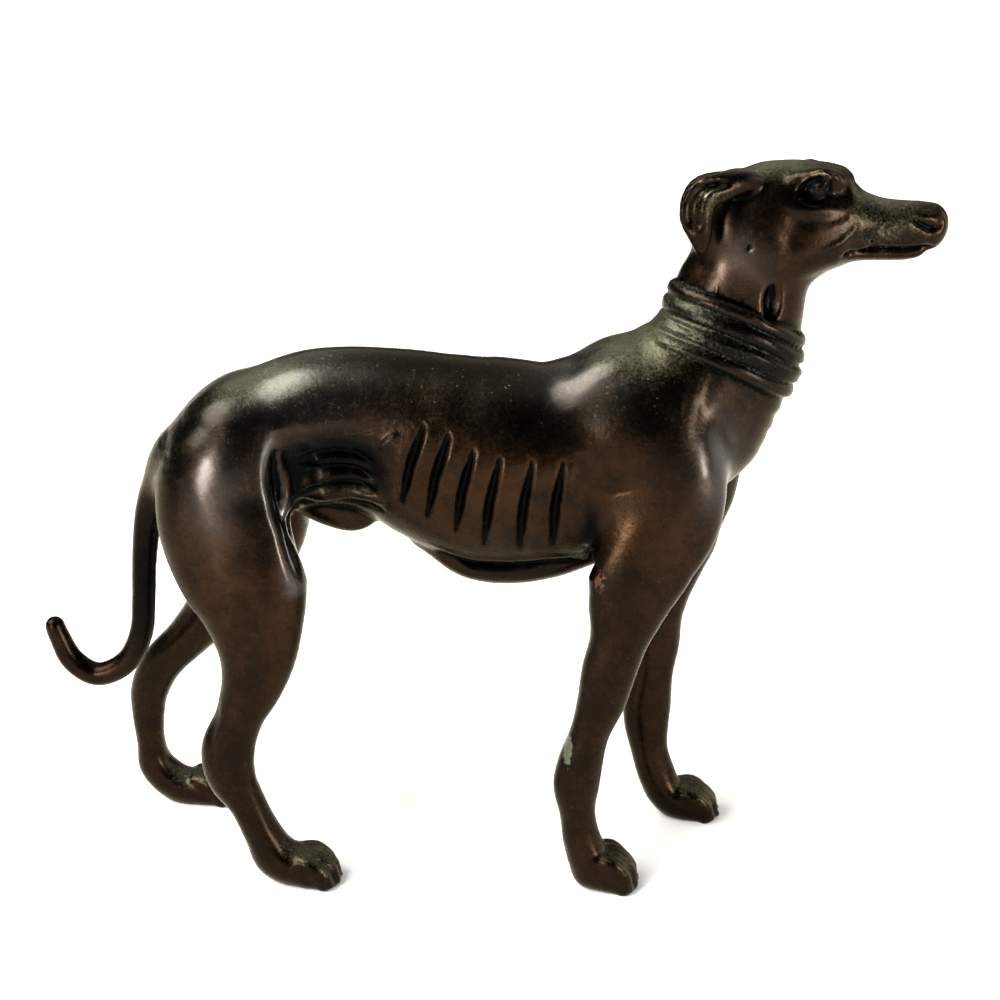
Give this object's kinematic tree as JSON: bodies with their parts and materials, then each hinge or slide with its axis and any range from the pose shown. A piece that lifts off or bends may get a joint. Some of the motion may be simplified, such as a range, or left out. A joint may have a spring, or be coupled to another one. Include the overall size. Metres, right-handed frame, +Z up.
{
  "type": "greyhound statue",
  "caption": "Small cast bronze greyhound standing on its four paws in a stride, head held level, ringed collar and low curling tail.",
  "frame": {"origin": "middle of the bounding box's underside, on the ground between the four paws", "axes": "+X from the tail towards the nose, +Y towards the dog's left side, +Z up"},
  "size_m": [0.165, 0.0392, 0.1351],
  "materials": {
    "bronze": "dark brown patinated bronze, rubbed reddish on the high places, with grey-green dust in the hollows"
  },
  "bodies": {
    "root": {"greyhound": "bronze"}
  },
  "joints": []
}
